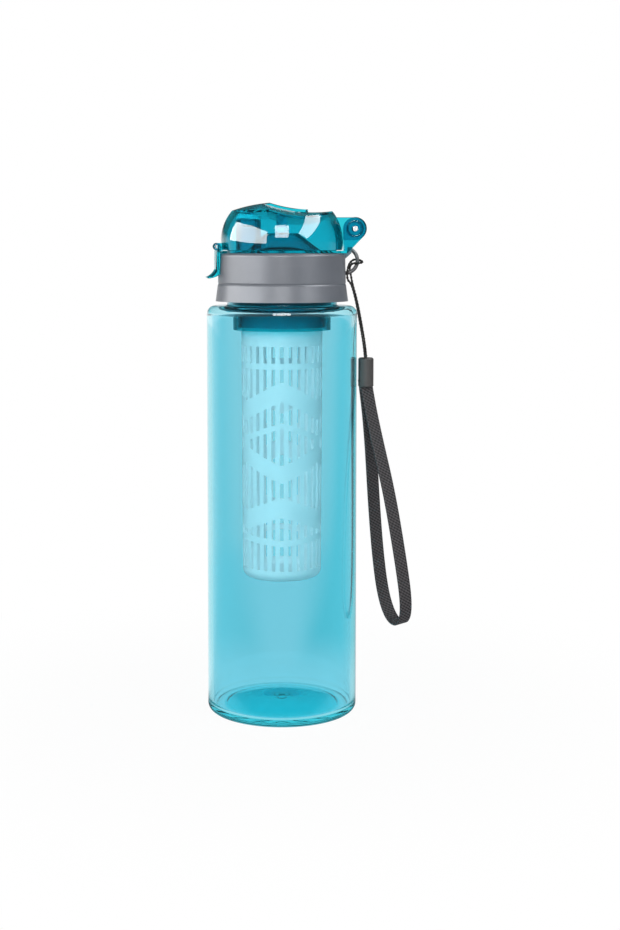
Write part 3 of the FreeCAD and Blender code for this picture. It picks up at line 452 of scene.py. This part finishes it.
grainMarks = {"detail": 3.0, "rough": 0.6, "driftDetail": 2.0, "driftShare": 0.03}
rubLines = {"stretch": (1.0, 1.0, 0.06), "detail": 4.0, "rough": 0.7, "from": 0.55, "to": 0.75}
weaveForm = {"twill": 0.35, "cross": 0.15, "crossLean": 0.5, "middle": 0.5, "fuzzScale": 600.0,
             "fuzzDetail": 2.0, "fuzz": (0.7, 1.3)}


def mouldGrainGroup(s):
    # fine grain of a moulded face and the slow drift of its tone
    tree, given, result = newGroup(
        "mouldGrain", [("Vector", "NodeSocketVector", None), ("Scale", "NodeSocketFloat", 900.0)],
        [("Grain", "NodeSocketFloat"), ("Drift", "NodeSocketFloat")])
    fine = put(tree, "ShaderNodeTexNoise", Detail=s["detail"], Roughness=s["rough"])
    wire(tree, given.outputs["Vector"], fine.inputs["Vector"])
    wire(tree, given.outputs["Scale"], fine.inputs["Scale"])
    slow = put(tree, "ShaderNodeTexNoise", Detail=s["driftDetail"])
    wire(tree, given.outputs["Vector"], slow.inputs["Vector"])
    wire(tree, sums(tree, "MULTIPLY", given.outputs["Scale"], s["driftShare"]), slow.inputs["Scale"])
    wire(tree, fine.outputs["Fac"], result.inputs["Grain"])
    wire(tree, slow.outputs["Fac"], result.inputs["Drift"])
    return tree


def rubMarksGroup(s):
    # thin rub lines, long one way and short the other
    tree, given, result = newGroup(
        "rubMarks", [("Vector", "NodeSocketVector", None), ("Scale", "NodeSocketFloat", 300.0)],
        [("Mask", "NodeSocketFloat")])
    stretch = put(tree, "ShaderNodeMapping", Scale=s["stretch"])
    wire(tree, given.outputs["Vector"], stretch.inputs["Vector"])
    lines = put(tree, "ShaderNodeTexNoise", Detail=s["detail"], Roughness=s["rough"])
    wire(tree, stretch.outputs["Vector"], lines.inputs["Vector"])
    wire(tree, given.outputs["Scale"], lines.inputs["Scale"])
    wire(tree, spread(tree, lines.outputs["Fac"], 0.0, 1.0, s["from"], s["to"]), result.inputs["Mask"])
    return tree


def threadsGroup(s):
    # woven threads on a cord's own map: u runs round it and v along it, in metres
    tree, given, result = newGroup(
        "wovenThreads", [("Vector", "NodeSocketVector", None), ("Slant", "NodeSocketFloat", 1400.0),
                         ("Pick", "NodeSocketFloat", 1400.0)],
        [("Height", "NodeSocketFloat"), ("Shade", "NodeSocketFloat")])
    parts = put(tree, "ShaderNodeSeparateXYZ")
    wire(tree, given.outputs["Vector"], parts.inputs["Vector"])
    u = sums(tree, "MULTIPLY", parts.outputs["X"], given.outputs["Slant"])
    v = sums(tree, "MULTIPLY", parts.outputs["Y"], given.outputs["Pick"])
    lean = sums(tree, "SUBTRACT", u, sums(tree, "MULTIPLY", v, s["crossLean"]))
    twill = sums(tree, "SINE", sums(tree, "MULTIPLY", sums(tree, "ADD", u, v), 2 * math.pi))
    cross = sums(tree, "SINE", sums(tree, "MULTIPLY", lean, 2 * math.pi))
    height = sums(tree, "ADD", sums(tree, "MULTIPLY", twill, s["twill"]),
                  sums(tree, "MULTIPLY", cross, s["cross"]))
    height = sums(tree, "ADD", height, s["middle"])
    wire(tree, height, result.inputs["Height"])
    fuzz = put(tree, "ShaderNodeTexNoise", Scale=s["fuzzScale"], Detail=s["fuzzDetail"])
    wire(tree, given.outputs["Vector"], fuzz.inputs["Vector"])
    shade = sums(tree, "MULTIPLY", height, spread(tree, fuzz.outputs["Fac"], *s["fuzz"]))
    wire(tree, shade, result.inputs["Shade"])
    return tree


mouldGrain, rubMarks = mouldGrainGroup(grainMarks), rubMarksGroup(rubLines)
wovenThreads = threadsGroup(weaveForm)
print("surface effects ready")


# finishes

def newFinish(name):
    finish = bpy.data.materials.new(name)
    finish.use_nodes = True
    tree = finish.node_tree
    tree.nodes.clear()
    out = tree.nodes.new("ShaderNodeOutputMaterial")
    shader = tree.nodes.new("ShaderNodeBsdfPrincipled")
    spot = tree.nodes.new("ShaderNodeTexCoord")
    return finish, tree, out, shader, spot


def useGroup(tree, group, vector, **values):
    node = tree.nodes.new("ShaderNodeGroup")
    node.node_tree = group
    wire(tree, vector, node.inputs["Vector"])
    for label, value in values.items():
        node.inputs[label].default_value = value
    return node


def between(tree, mask, first, second):
    node = tree.nodes.new("ShaderNodeMix")
    node.data_type = "RGBA"
    wire(tree, mask, node.inputs["Factor"])
    for socket, colour in zip([i for i in node.inputs if i.type == "RGBA"], (first, second)):
        if isinstance(colour, tuple):
            socket.default_value = (*colour, 1)
        else:
            wire(tree, colour, socket)
    return next(o for o in node.outputs if o.type == "RGBA")


def bumped(tree, shader, height, strength, distance):
    node = put(tree, "ShaderNodeBump", Strength=strength, Distance=distance)
    wire(tree, height, node.inputs["Height"])
    wire(tree, node.outputs["Normal"], shader.inputs["Normal"])


def shadedInside(tree, colour, s, height):
    # a ray that has shone once inside leaves darker, apart from the wall's rounded ends and grazed edges
    path = tree.nodes.new("ShaderNodeLightPath")
    glossy = sums(tree, "MULTIPLY", path.outputs["Is Reflection Ray"], path.outputs["Is Glossy Ray"])
    first = sums(tree, "LESS_THAN", path.outputs["Glossy Depth"], 1.5)  # the first shine counts as 1
    once = sums(tree, "MULTIPLY", glossy, first)
    for start, end in s["shadeEnds"]:
        once = sums(tree, "MULTIPLY", once, spread(tree, height, 0.0, 1.0, start * mm, end * mm))
    if "shadeFacing" in s:
        facing = put(tree, "ShaderNodeLayerWeight", Blend=0.5).outputs["Facing"]
        inside = tree.nodes.new("ShaderNodeNewGeometry").outputs["Backfacing"]
        grazed = sums(tree, "MULTIPLY", inside, spread(tree, facing, 0.0, 1.0, *s["shadeWithin"]))
        once = sums(tree, "MULTIPLY", once, spread(tree, facing, 1.0, 0.0, *s["shadeFacing"]))
        once = sums(tree, "MULTIPLY", once, sums(tree, "SUBTRACT", 1.0, grazed))
    return between(tree, once, colour, s["shade"])


def clearPlastic(name, s):
    # tinted clear plastic: tint at its faces and zones, where a zone may be painted shade, more where it is
    # thick, and lamps shine into it
    finish, tree, out, shader, spot = newFinish(name)
    shader.inputs["IOR"].default_value = s["ior"]
    shader.inputs["Transmission Weight"].default_value = s["clear"]
    parts = put(tree, "ShaderNodeSeparateXYZ")
    wire(tree, spot.outputs["Object"], parts.inputs["Vector"])
    colour = s["tint"]
    if "zones" in s:
        squares = [sums(tree, "POWER", parts.outputs[axis], 2.0) for axis in ("X", "Y")]
        away = sums(tree, "SQRT", sums(tree, "ADD", *squares))
        for zone in s["zones"]:
            inside = spread(tree, away, 1.0, 0.0, *[r * mm for r in zone["radius"]])
            level = spread(tree, parts.outputs["Z"], 0.0, 1.0, *[z * mm for z in zone["height"]])
            colour = between(tree, sums(tree, "MULTIPLY", inside, level), colour, zone["tint"])
    if "shade" in s:
        colour = shadedInside(tree, colour, s, parts.outputs["Z"])
    if isinstance(colour, tuple):
        shader.inputs["Base Color"].default_value = (*colour, 1)
    else:
        wire(tree, colour, shader.inputs["Base Color"])
    marks = useGroup(tree, rubMarks, spot.outputs["Object"], Scale=s["rubScale"])
    wire(tree, spread(tree, marks.outputs["Mask"], *s["rough"]), shader.inputs["Roughness"])
    grain = useGroup(tree, mouldGrain, spot.outputs["Object"], Scale=s["grainScale"])
    bumped(tree, shader, grain.outputs["Drift"], s["wave"], s["waveDepth"])
    lamp = put(tree, "ShaderNodeBsdfTransparent")
    lamp.inputs["Color"].default_value = (*s["lampTint"], 1)
    path = tree.nodes.new("ShaderNodeLightPath")
    mix = tree.nodes.new("ShaderNodeMixShader")
    wire(tree, path.outputs["Is Shadow Ray"], mix.inputs[0])
    wire(tree, shader.outputs["BSDF"], mix.inputs[1])
    wire(tree, lamp.outputs["BSDF"], mix.inputs[2])
    wire(tree, mix.outputs["Shader"], out.inputs["Surface"])
    if "density" in s:
        depth = put(tree, "ShaderNodeVolumeAbsorption", Density=s["density"])
        depth.inputs["Color"].default_value = (*s["depthColour"], 1)
        wire(tree, depth.outputs["Volume"], out.inputs["Volume"])
    return finish


def satinPlastic(name, s):
    finish, tree, out, shader, spot = newFinish(name)
    grain = useGroup(tree, mouldGrain, spot.outputs["Object"], Scale=s["grainScale"])
    marks = useGroup(tree, rubMarks, spot.outputs["Object"], Scale=s["rubScale"])
    wire(tree, between(tree, grain.outputs["Drift"], s["dark"], s["light"]), shader.inputs["Base Color"])
    wire(tree, spread(tree, marks.outputs["Mask"], *s["rough"]), shader.inputs["Roughness"])
    shader.inputs["Specular IOR Level"].default_value = s["shine"]
    shader.inputs["Metallic"].default_value = s["metal"]
    bumped(tree, shader, grain.outputs["Grain"], s["bump"], s["bumpDepth"])
    wire(tree, shader.outputs["BSDF"], out.inputs["Surface"])
    return finish


def wovenFinish(name, s):
    finish, tree, out, shader, spot = newFinish(name)
    marks = tree.nodes.new("ShaderNodeUVMap")
    marks.uv_map = "cordMap"
    weave = useGroup(tree, wovenThreads, marks.outputs["UV"], Slant=s["slant"], Pick=s["pick"])
    wire(tree, between(tree, weave.outputs["Shade"], s["dark"], s["light"]), shader.inputs["Base Color"])
    shader.inputs["Roughness"].default_value = s["rough"]
    shader.inputs["Sheen Weight"].default_value = s["sheen"]
    shader.inputs["Sheen Roughness"].default_value = s["sheenRough"]
    shader.inputs["Sheen Tint"].default_value = (*s["sheenTint"], 1)
    bumped(tree, shader, weave.outputs["Height"], s["bump"], s["bumpDepth"])
    wire(tree, shader.outputs["BSDF"], out.inputs["Surface"])
    return finish


bodyLook = {"tint": (0.555, 0.858, 0.938), "ior": 1.5, "clear": 1.0, "rubScale": 260.0,
            "rough": (0.015, 0.05), "grainScale": 500.0, "wave": 0.008, "waveDepth": 0.001,
            "lampTint": (1.0, 1.0, 1.0),
            "density": 35.0, "depthColour": (0.04, 0.86, 0.90), "shade": (0.004, 0.006, 0.007),
            "shadeEnds": [(4.5, 6.5), (195.0, 193.0)], "shadeFacing": (0.25, 0.5),
            "shadeWithin": (0.06, 0.2),
            # the first two zones deepen the tint at the foot and over the push-up disc; the last is painted
            # shade, a dark teal band over the neck and the shoulder's top round it, under the collar
            "zones": [{"tint": (0.2, 0.72, 0.82), "radius": (33.0, 35.0), "height": (0.9, 0.3)},
                      {"tint": (0.03, 0.73, 0.85), "radius": (27.4, 28.4), "height": (6.6, 6.0)},
                      {"tint": (0.07, 0.40, 0.48), "radius": (30.0, 31.5), "height": (196.3, 196.8)}]}
lidLook = {"tint": (0.10, 0.68, 0.79), "ior": 1.5, "clear": 1.0, "rubScale": 300.0, "rough": (0.01, 0.04),
           "grainScale": 500.0, "wave": 0.02, "waveDepth": 0.001, "lampTint": (0.5, 0.9, 0.95),
           "density": 150.0, "depthColour": (0.05, 0.935, 0.945), "shade": (0.0, 0.01, 0.013),
           "shadeEnds": []}
insertLook = {**lidLook,
              "zones": [{"tint": (0.05, 0.74, 0.81), "radius": (29.0, 29.4), "height": (200.0, 201.0)}]}
innerLook = {**lidLook, "tint": (0.02, 0.66, 0.71), "rough": (0.02, 0.08), "lampTint": (0.3, 0.8, 0.86)}
basketLook = {"tint": (0.99, 0.97, 0.98), "ior": 1.46, "clear": 0.25, "rubScale": 420.0, "rough": (0.38, 0.5),
              "grainScale": 2600.0, "wave": 0.08, "waveDepth": 0.0006, "lampTint": (0.75, 0.8, 0.82)}
collarLook = {"dark": (0.142, 0.155, 0.181), "light": (0.178, 0.192, 0.221), "rough": (0.36, 0.48),
              "shine": 0.3, "metal": 0.0, "grainScale": 2600.0, "rubScale": 500.0, "bump": 0.12,
              "bumpDepth": 0.0001}
eyeLook = {**collarLook, "dark": (0.085, 0.082, 0.088), "light": (0.125, 0.120, 0.127), "rough": (0.38, 0.5),
           "shine": 0.5}
sleeveLook = {**eyeLook, "dark": (0.048, 0.046, 0.046), "light": (0.066, 0.063, 0.062), "rough": (0.4, 0.55),
              "grainScale": 2200.0, "rubScale": 600.0, "bump": 0.15}
siliconeLook = {**eyeLook, "dark": (0.60, 0.64, 0.66), "light": (0.74, 0.77, 0.79), "rough": (0.5, 0.6),
                "grainScale": 1400.0, "rubScale": 300.0, "bump": 0.1, "bumpDepth": 0.0002}
steelLook = {**eyeLook, "dark": (0.58, 0.59, 0.61), "light": (0.68, 0.69, 0.71), "rough": (0.18, 0.34),
             "metal": 1.0, "grainScale": 3000.0, "rubScale": 2500.0, "bump": 0.04}
bandLook = {"slant": 500.0, "pick": 640.0, "dark": (0.003, 0.003, 0.004), "light": (0.115, 0.106, 0.114),
            "rough": 0.66, "sheen": 0.10, "sheenRough": 0.4, "sheenTint": (0.75, 0.82, 0.95), "bump": 0.5,
            "bumpDepth": 0.0002}
cordLook = {**bandLook, "slant": 1060.0, "pick": 900.0, "dark": (0.005, 0.004, 0.004),
            "light": (0.034, 0.029, 0.028), "rough": 0.7, "sheen": 0.08, "sheenTint": (0.9, 0.9, 0.9),
            "bump": 0.6}

clearBody = clearPlastic("clearCyanBody", bodyLook)
clearTeal = clearPlastic("clearTealCap", lidLook)
insertTeal = clearPlastic("clearTealInsert", insertLook)
innerTeal = clearPlastic("deepTealInner", innerLook)
frosted = clearPlastic("frostedBasket", basketLook)
collarGrey = satinPlastic("satinGreyCollar", collarLook)
eyeGrey = satinPlastic("darkGreyEye", eyeLook)
sleeveGrey = satinPlastic("darkGreySleeve", sleeveLook)
silicone = satinPlastic("whiteSilicone", siliconeLook)
steel = satinPlastic("groundSteelPin", steelLook)
bandWeave = wovenFinish("wovenBand", bandLook)
cordWeave = wovenFinish("twistedCord", cordLook)

finishes = {
    "cap_collar": collarGrey, "cap_insert": insertTeal, "flip_lid": clearTeal, "latch_clip": clearTeal,
    "infuser_holder": innerTeal, "infuser_basket": frosted, "hinge_pin": steel, "latch_pin": steel,
    "neck_gasket": silicone, "holder_o_ring": silicone, "spout_plug": silicone, "vent_plug": silicone,
    "strap_loop": eyeGrey, "strap_sleeve": sleeveGrey,
}
newPieces = [(bottle, clearBody), (thread, clearBody), (webbing, bandWeave), (string, cordWeave)]
newPieces += [(bead, clearTeal) for bead in beads]
for node, finish in finishes.items():
    nodes[node].material_slots[0].material = finish
for piece, finish in newPieces:
    piece.data.materials.append(finish)
print("finishes on", len(finishes) + len(newPieces), "pieces")


# stage: a pale floor, a white backdrop from the world and soft studio lamps
stageLook = {
    "floorSize": 10.0, "floorDrop": 0.0002, "floorColour": (0.86, 0.87, 0.88), "floorRough": 0.8,
    "floorShine": 0.1, "lift": 0.95, "fadeFrom": 0.05, "fadeTo": 0.25,
    "clearLevel": 0.97, "paintedShadowTint": (0.76, 0.965, 1.0), "paintedShadowFull": 0.32, "paintedShadowEnd": 0.46,
    "sideTint": (0.34, 0.83, 0.88), "sideFrom": 0.04, "sideTo": 0.20, "sideLeft": 0.6,
    "sideNear": 0.05, "sideFull": 0.16,
    "shineNear": 0.12, "shineFrom": 0.42, "shineTo": 0.56, "shineFar": 0.14, "shineLeft": 1.0,
    "shineBack": 0.4, "behindFrom": -0.1, "behindTo": 0.4,
    "room": 0.5, "roomDark": 0.06, "roomLeft": 1.2, "leftWay": (-0.55, 0.835, 0.0), "leftFrom": 0.66,
    "leftTo": 0.97, "backFrom": 0.4, "backTo": 0.98, "backLevel": 0.75, "brightTop": 0.14,
    "bounces": 24,  # many clear walls stand behind each other
}


def rayKinds(tree, path):
    # rays that come through clear walls, and those of a shine on a face
    through = path.outputs["Is Transmission Ray"]
    glint = sums(tree, "MULTIPLY", path.outputs["Is Glossy Ray"], sums(tree, "SUBTRACT", 1.0, through))
    return through, glint


def leftShare(tree, way, s, level):
    # a level that rises as a direction turns to the studio's bright left side
    left = put(tree, "ShaderNodeVectorMath", operation="DOT_PRODUCT")
    wire(tree, way, left.inputs[0])
    left.inputs[1].default_value = s["leftWay"]
    return eased(tree, left.outputs["Value"], s["leftFrom"], s["leftTo"], 0.0, level)


def makeFloor(s):
    # the camera sees it whiten away from the object; clear plastic and shine see their own levels
    bpy.ops.object.select_all(action="DESELECT")
    bpy.ops.mesh.primitive_plane_add(size=s["floorSize"], location=(0, 0, -s["floorDrop"]))
    floor = bpy.context.object
    floor.name = "studioFloor"
    finish, tree, out, shader, spot = newFinish("paleFloor")
    shader.inputs["Base Color"].default_value = (*s["floorColour"], 1)
    shader.inputs["Roughness"].default_value = s["floorRough"]
    shader.inputs["Specular IOR Level"].default_value = s["floorShine"]
    path = tree.nodes.new("ShaderNodeLightPath")
    direct = path.outputs["Is Camera Ray"]
    through, glint = rayKinds(tree, path)
    length = put(tree, "ShaderNodeVectorMath", operation="LENGTH")
    wire(tree, spot.outputs["Object"], length.inputs[0])
    away = length.outputs["Value"]
    way = put(tree, "ShaderNodeVectorMath", operation="NORMALIZE")
    wire(tree, spot.outputs["Object"], way.inputs[0])
    parts = put(tree, "ShaderNodeSeparateXYZ")
    wire(tree, way.outputs["Vector"], parts.inputs["Vector"])

    # how bright the floor is in a shine: near or far, behind the object, and most to its left
    shine = eased(tree, away, s["shineFrom"], s["shineTo"], s["shineNear"], s["shineFar"])
    behind = eased(tree, parts.outputs["Y"], s["behindFrom"], s["behindTo"], 0.0, s["shineBack"])
    for more in (behind, leftShare(tree, way.outputs["Vector"], s, s["shineLeft"])):
        shine = sums(tree, "MAXIMUM", shine, more)
    fade = eased(tree, away, s["fadeFrom"], s["fadeTo"], low=s["lift"])
    share = sums(tree, "MAXIMUM", sums(tree, "MULTIPLY", direct, fade),
                 sums(tree, "MAXIMUM", through, glint))
    level = sums(tree, "ADD", sums(tree, "MULTIPLY", through, s["clearLevel"]),
                 sums(tree, "MULTIPLY", glint, shine))
    white = put(tree, "ShaderNodeEmission")
    wire(tree, sums(tree, "MAXIMUM", direct, level), white.inputs["Strength"])

    # seen through clear walls it gets a painted cyan shadow near the object, standing in for the bottle's
    # tinted cast shadow, and is tinted towards both sides
    paintedShadowShare = sums(tree, "MULTIPLY", through, eased(tree, away, s["paintedShadowEnd"], s["paintedShadowFull"]))
    colour = between(tree, paintedShadowShare, (1.0, 1.0, 1.0), s["paintedShadowTint"])
    sides = sums(tree, "MAXIMUM", eased(tree, parts.outputs["X"], s["sideFrom"], s["sideTo"]),
                 eased(tree, parts.outputs["X"], -s["sideFrom"], -s["sideTo"], 0.0, s["sideLeft"]))
    sides = sums(tree, "MULTIPLY", sides, eased(tree, away, s["sideNear"], s["sideFull"]))
    colour = between(tree, sums(tree, "MULTIPLY", through, sides), colour, s["sideTint"])
    wire(tree, colour, white.inputs["Color"])
    mix = tree.nodes.new("ShaderNodeMixShader")
    wire(tree, share, mix.inputs[0])
    wire(tree, shader.outputs["BSDF"], mix.inputs[1])
    wire(tree, white.outputs["Emission"], mix.inputs[2])
    wire(tree, mix.outputs["Shader"], out.inputs["Surface"])
    floor.data.materials.append(finish)


def makeRoom(s):
    # white behind the object, a plain level on its faces, a dark room with a bright left side in its shine
    world = bpy.data.worlds.new("studioRoom")
    bpy.context.scene.world = world
    world.use_nodes = True
    tree = world.node_tree
    tree.nodes.clear()
    out = tree.nodes.new("ShaderNodeOutputWorld")
    way = tree.nodes.new("ShaderNodeTexCoord").outputs["Generated"]
    parts = tree.nodes.new("ShaderNodeSeparateXYZ")
    wire(tree, way, parts.inputs["Vector"])
    bright = sums(tree, "MAXIMUM", leftShare(tree, way, s, s["roomLeft"]),
                  eased(tree, parts.outputs["Y"], s["backFrom"], s["backTo"], 0.0, s["backLevel"]))
    low = eased(tree, parts.outputs["Z"], s["brightTop"], 0.0)
    shine = sums(tree, "MAXIMUM", sums(tree, "MULTIPLY", bright, low), s["roomDark"])
    path = tree.nodes.new("ShaderNodeLightPath")
    through, glint = rayKinds(tree, path)
    seen = sums(tree, "MAXIMUM", path.outputs["Is Camera Ray"], through)
    plain = sums(tree, "SUBTRACT", sums(tree, "SUBTRACT", 1.0, seen), glint)
    level = sums(tree, "ADD", sums(tree, "MULTIPLY", glint, shine), sums(tree, "MULTIPLY", plain, s["room"]))
    room = tree.nodes.new("ShaderNodeBackground")
    room.inputs["Color"].default_value = (1, 1, 1, 1)
    wire(tree, sums(tree, "ADD", seen, level), room.inputs["Strength"])
    wire(tree, room.outputs["Background"], out.inputs["Surface"])


capPieces = ("flip_lid", "cap_collar", "strap_loop", "strap_sleeve")
lamps = {
    "leftPanel": {"place": (-0.705, -0.257, 0.42), "size": (1.37, 0.50), "aim": (0, 0, 0.42), "roll": -6.6,
                  "power": 27.0, "diffuse": False, "glossy": True, "shinesOn": capPieces},
    "frontBox": {"place": (0.0, -0.96, 0.605), "size": (0.46, 0.56), "aim": (0, 0, 0.23), "roll": 0.0,
                 "power": 11.0, "diffuse": False, "glossy": True},
    "rightStrip": {"place": (0.70, -0.33, 0.75), "size": (1.25, 0.40), "aim": (0, 0, 0.23), "roll": 40.0,
                   "power": 18.0, "diffuse": False, "glossy": True, "shinesOn": capPieces},
    "keyLight": {"place": (-0.7, -0.9, 0.9), "size": (0.9, 0.9), "aim": (0, 0, 0.12), "roll": 0.0,
                 "power": 5.5, "diffuse": True, "glossy": False},
    "basketLight": {"place": (-0.5, -1.1, 0.7), "size": (0.6, 0.6), "aim": (0, 0, 0.13), "roll": 0.0,
                    "power": 3.6, "diffuse": True, "glossy": False, "shinesOn": ("infuser_basket",)},
    "fillLight": {"place": (0.9, -0.8, 0.6), "size": (0.9, 0.9), "aim": (0, 0, 0.12), "roll": 0.0,
                  "power": 3.6, "diffuse": True, "glossy": False},
}


def makeLamp(name, s):
    bpy.ops.object.light_add(type="AREA", location=s["place"])
    lamp = bpy.context.object
    lamp.name = name
    lamp.data.shape = "RECTANGLE"
    lamp.data.size, lamp.data.size_y = s["size"]
    lamp.data.energy = s["power"]
    away = Vector(s["place"]) - Vector(s["aim"])
    lamp.rotation_euler = away.to_track_quat("Z", "Y").to_euler()
    lamp.rotation_euler.rotate_axis("Z", math.radians(s["roll"]))
    lamp.visible_camera = False
    lamp.visible_transmission = False
    lamp.visible_diffuse = s["diffuse"]
    lamp.visible_glossy = s["glossy"]
    if "shinesOn" in s:
        lit = bpy.data.collections.new(name + "Pieces")
        for node in s["shinesOn"]:
            lit.objects.link(nodes[node])
        lamp.light_linking.receiver_collection = lit


makeFloor(stageLook)
makeRoom(stageLook)
for name, s in lamps.items():
    makeLamp(name, s)
scene = bpy.context.scene
scene.view_settings.view_transform = "Standard"
scene.cycles.max_bounces = stageLook["bounces"]
scene.cycles.transmission_bounces = stageLook["bounces"]
scene.cycles.glossy_bounces = stageLook["bounces"]
scene.cycles.transparent_max_bounces = stageLook["bounces"]
print("stage lit")
